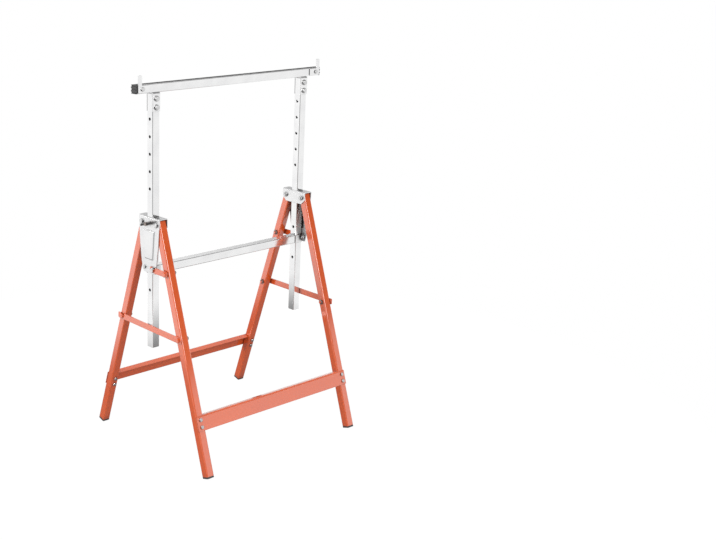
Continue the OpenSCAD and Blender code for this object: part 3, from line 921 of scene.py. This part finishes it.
@dataclass
class LegFrame(SubAssembly):
    """Two legs with their crossbar, feet and bolts, front or rear."""

    end: str = "front"
    body: Body = Body.FRONT
    side_bolts: tuple[str, ...] = ("stay_pivot_left", "link_pivot_left", "stay_stud_right")
    bars: tuple[str, ...] = ("stay_left", "link_left")

    def __post_init__(self) -> None:
        """List the frame's nodes from its end of the trestle."""
        sides = ("left", "right")
        legs = tuple(f"{self.end}_{side}_leg" for side in sides)
        self.finishes = {
            Slot.PAINT: legs + (f"{self.end}_crossbar",) + self.bars + self.side_bolts,
            Slot.PLASTIC: tuple(f"{self.end}_{side}_foot" for side in sides),
            Slot.STEEL: (f"{self.end}_crossbar_bolts", f"{self.end}_crossbar_nuts", f"{self.end}_leg_nuts"),
        }

    def dress(self) -> None:
        """Give the nodes their finishes, and the leg nuts a duller plating."""
        super().dress()
        self.shelf.dress(f"{self.end}_leg_nuts", self.shelf.dull)

    def tail_axis(self) -> Vector:
        """The direction of the crossbar bolts' tails: square to the legs, towards the middle."""
        leg = long_axis(node_points(f"{self.end}_left_leg"))
        across = leg.cross(Vector((1.0, 0.0, 0.0))).normalized()
        inward = -1.0 if self.end == "rear" else 1.0
        return across if across.y * inward > 0 else -across

    def build(self) -> None:
        """Thread the tails of the crossbar bolts and of the pivots and studs on the legs."""
        bolts: dict[str, Vector | None] = {f"{self.end}_crossbar_bolts": self.tail_axis()}
        bolts.update({node: None for node in self.side_bolts})
        self.thread_tails(f"{self.end}_frame_threads", bolts, self.body)


# Studio


@dataclass
class Softbox:
    """One soft lamp."""

    name: str
    place: tuple[float, float, float]
    size: float
    power: float

    def hang(self, target: Vector) -> None:
        """Hang the lamp and turn it to a point.

        Args:
            target: the point that it faces.
        """
        data = bpy.data.lights.new(self.name, "AREA")
        data.shape = "SQUARE"
        data.size = self.size
        data.energy = self.power
        lamp = bpy.data.objects.new(self.name, data)
        lamp.location = self.place
        lamp.rotation_euler = (target - Vector(self.place)).to_track_quat("-Z", "Y").to_euler()
        bpy.context.scene.collection.objects.link(lamp)


@dataclass
class Studio:
    """A white floor, a white sky with a dark band above the floor's edge, and soft lamps.

    The lights are strengths where one is white. The edges are where a change starts and ends: metres
    from the middle on the floor, and parts of a direction of length one in the sky.
    """

    floor_radius: float = 1.5
    floor_sides: int = 96
    floor_white: float = 0.93
    floor_glow: float = 1.05
    floor_tone: float = 0.5
    floor_mirror: float = 0.16
    rim_share: tuple[float, float] = (0.5, 0.95)
    mirror_edge: tuple[float, float] = (0.65, 1.35)
    sky_light: float = 0.55
    ground_light: float = 0.2
    horizon_edge: tuple[float, float] = (-0.1, 0.1)
    band_light: float = 0.08
    band_edge: tuple[float, float] = (0.245, 0.268)
    front_edge: tuple[float, float] = (-0.1, -0.6)
    front_rise: float = 0.30
    low_edge: tuple[float, float] = (0.02, -0.01)
    low_rise: float = 0.112
    high_light: float = 0.45
    high_edge: tuple[float, float] = (0.42, 0.62)
    dark_side: tuple[float, float, float] = (-0.606, -0.796, 0.0)
    dark_edge: tuple[float, float] = (0.45, 0.72)
    dark_light: float = 0.34
    right_light: float = 0.92
    right_edge: tuple[float, float] = (-0.2, 0.5)
    aim: tuple[float, float, float] = (0.0, 0.0, 0.55)
    lamps: tuple[Softbox, ...] = (
        Softbox("left_softbox", (-2.6, 0.9, 1.7), size=1.8, power=52.0),
        Softbox("front_fill", (-0.7, -3.0, 1.9), size=2.0, power=58.0),
        Softbox("top_softbox", (0.2, 0.2, 3.4), size=2.0, power=12.0),
    )

    def build(self) -> None:
        """Set the floor, the sky, the lamps and the view transform."""
        self.lay_floor()
        self.paint_sky()
        for lamp in self.lamps:
            lamp.hang(Vector(self.aim))
        bpy.context.scene.view_settings.view_transform = "Standard"

    def lay_floor(self) -> None:
        """Lay a round floor that is white to the eye and keeps a trace of the shadow."""
        shell = bmesh.new()
        bmesh.ops.create_circle(shell, cap_ends=True, segments=self.floor_sides, radius=self.floor_radius)
        mesh = bpy.data.meshes.new("studio_floor")
        shell.to_mesh(mesh)
        shell.free()
        floor = bpy.data.objects.new("studio_floor", mesh)
        bpy.context.scene.collection.objects.link(floor)
        mesh.materials.append(self.floor_material())

    def floor_material(self) -> bpy.types.Material:
        """White to the eye, fading out at the rim, and dark near the trestle where metal mirrors it."""
        material = bpy.data.materials.new("studio_floor")
        material.use_nodes = True
        tree = material.node_tree
        tree.nodes.clear()
        path = add_node(tree, "ShaderNodeLightPath").outputs
        reach = add_node(tree, "ShaderNodeVectorMath", operation="LENGTH")
        tree.links.new(add_node(tree, "ShaderNodeTexCoord").outputs["Object"], reach.inputs[0])
        away = reach.outputs["Value"]
        seen = calc(tree, "MAXIMUM", path["Is Camera Ray"], path["Is Glossy Ray"])
        seen = calc(tree, "MAXIMUM", seen, path["Is Transmission Ray"])
        rim_start, rim_end = (self.floor_radius * share for share in self.rim_share)
        rim = ramp(tree, away, rim_start, rim_end, self.floor_white, 1.0)
        mirrored = ramp(tree, away, *self.mirror_edge, self.floor_mirror, 1.0)
        strength = add_node(tree, "ShaderNodeMix", data_type="FLOAT")
        for socket, value in zip((0, 2, 3), (path["Is Glossy Ray"], self.floor_glow, mirrored)):
            plug(tree, value, strength.inputs[socket])
        matt = add_node(tree, "ShaderNodeBsdfDiffuse")
        matt.inputs["Color"].default_value = rgba(self.floor_tone, self.floor_tone, self.floor_tone)
        glow = add_node(tree, "ShaderNodeEmission")
        glow.inputs["Color"].default_value = rgba(1.0, 1.0, 1.0)
        tree.links.new(strength.outputs[0], glow.inputs["Strength"])
        self.finish(tree, "ShaderNodeOutputMaterial", calc(tree, "MULTIPLY", seen, rim), matt, glow)
        return material

    def paint_sky(self) -> None:
        """Light from all round, white to the eye, with darker parts that the metal shows."""
        world = bpy.data.worlds.new("studio_sky")
        bpy.context.scene.world = world
        world.use_nodes = True
        tree = world.node_tree
        tree.nodes.clear()
        path = add_node(tree, "ShaderNodeLightPath").outputs
        direction = add_node(tree, "ShaderNodeTexCoord").outputs["Generated"]
        split = add_node(tree, "ShaderNodeSeparateXYZ")
        tree.links.new(direction, split.inputs[0])
        level = ramp(tree, split.outputs["Z"], *self.horizon_edge, self.ground_light, self.sky_light)
        soft = self.background(tree, level)
        mirror = self.background(tree, self.mirror_level(tree, direction, split.outputs))
        unseen = add_node(tree, "ShaderNodeMixShader")
        for socket, value in zip(unseen.inputs, (path["Is Glossy Ray"], soft.outputs[0], mirror.outputs[0])):
            tree.links.new(value, socket)
        plain = calc(tree, "MAXIMUM", path["Is Camera Ray"], path["Is Transmission Ray"])
        self.finish(tree, "ShaderNodeOutputWorld", plain, unseen, self.background(tree, 1.0))

    def mirror_level(self, tree: bpy.types.NodeTree, direction: bpy.types.NodeSocket,
                     axes: bpy.types.NodeOutputs) -> bpy.types.NodeSocket:
        """How bright each direction is where metal and paint mirror it.

        Args:
            tree: the world's tree.
            direction: the direction of a ray.
            axes: its X, Y and Z.
        Returns:
            The brightness, where one is white.
        """
        front = ramp(tree, axes["Y"], *self.front_edge, 0.0, self.front_rise)
        above = ramp(tree, calc(tree, "SUBTRACT", axes["Z"], front), *self.band_edge)
        above = calc(tree, "MULTIPLY", above, ramp(tree, axes["Z"], *self.high_edge, 1.0, self.high_light))
        towards = add_node(tree, "ShaderNodeVectorMath", operation="DOT_PRODUCT")
        tree.links.new(direction, towards.inputs[0])
        towards.inputs[1].default_value = self.dark_side
        low = ramp(tree, axes["Y"], *self.front_edge, 0.0, self.low_rise)
        below = ramp(tree, calc(tree, "SUBTRACT", axes["Z"], low), *self.low_edge)
        shaded = ramp(tree, towards.outputs["Value"], *self.dark_edge, 1.0, self.dark_light)
        below = calc(tree, "MULTIPLY", below, shaded)
        right = ramp(tree, axes["X"], *self.right_edge, 1.0, self.right_light)
        below = calc(tree, "MULTIPLY", below, right)
        return calc(tree, "MAXIMUM", calc(tree, "MAXIMUM", above, below), self.band_light)

    @staticmethod
    def background(tree: bpy.types.NodeTree, strength: object) -> bpy.types.Node:
        """A white background of some strength, a number or a socket."""
        node = add_node(tree, "ShaderNodeBackground")
        node.inputs["Color"].default_value = rgba(1.0, 1.0, 1.0)
        plug(tree, strength, node.inputs["Strength"])
        return node

    @staticmethod
    def finish(tree: bpy.types.NodeTree, kind: str, share: bpy.types.NodeSocket,
               first: bpy.types.Node, second: bpy.types.Node) -> None:
        """Mix two shaders into a tree's output.

        Args:
            tree: the material's or world's tree.
            kind: type name of the output node.
            share: how much of the second shader.
            first: one shader.
            second: the other.
        """
        both = add_node(tree, "ShaderNodeMixShader")
        for socket, value in zip(both.inputs, (share, first.outputs[0], second.outputs[0])):
            tree.links.new(value, socket)
        tree.links.new(both.outputs[0], add_node(tree, kind).inputs["Surface"])


@dataclass
class PhotoCamera:
    """The camera of the photograph, fitted to the trestle's corners."""

    place: tuple[float, float, float] = (-2.2113, -2.5308, 1.5146)
    heading: float = 37.27
    dip: float = 14.50
    focal_px: float = 1146.6
    centre_px: tuple[float, float] = (153.2, 225.2)
    sensor: float = 36.0

    def build(self) -> None:
        """Set up the camera and make it the scene's."""
        data = bpy.data.cameras.new("photo_camera")
        data.sensor_fit = "HORIZONTAL"
        data.sensor_width = self.sensor
        data.lens = self.sensor * self.focal_px / PHOTO_W
        data.shift_x = (PHOTO_W / 2 - self.centre_px[0]) / PHOTO_W
        data.shift_y = (self.centre_px[1] - PHOTO_H / 2) / PHOTO_W
        camera = bpy.data.objects.new("photo_camera", data)
        camera.location = self.place
        camera.rotation_euler = (math.radians(90.0 - self.dip), 0.0, math.radians(-self.heading))
        bpy.context.scene.collection.objects.link(camera)
        bpy.context.scene.camera = camera


def main() -> None:
    """Build the studio and the camera, then dress each sub-assembly."""
    logging.basicConfig(level=logging.INFO, format="%(name)s: %(message)s")
    PhotoCamera().build()
    Studio().build()
    shelf = FinishShelf()
    assemblies = (
        Mast(shelf),
        Heads(shelf),
        LegFrame(shelf),
        LegFrame(shelf, end="rear", body=Body.REAR, bars=("stay_right", "link_right"),
                 side_bolts=("stay_pivot_right", "link_pivot_right", "stay_stud_left")),
    )
    for assembly in assemblies:
        assembly.dress()
        assembly.build()


if __name__ == "__main__":
    main()
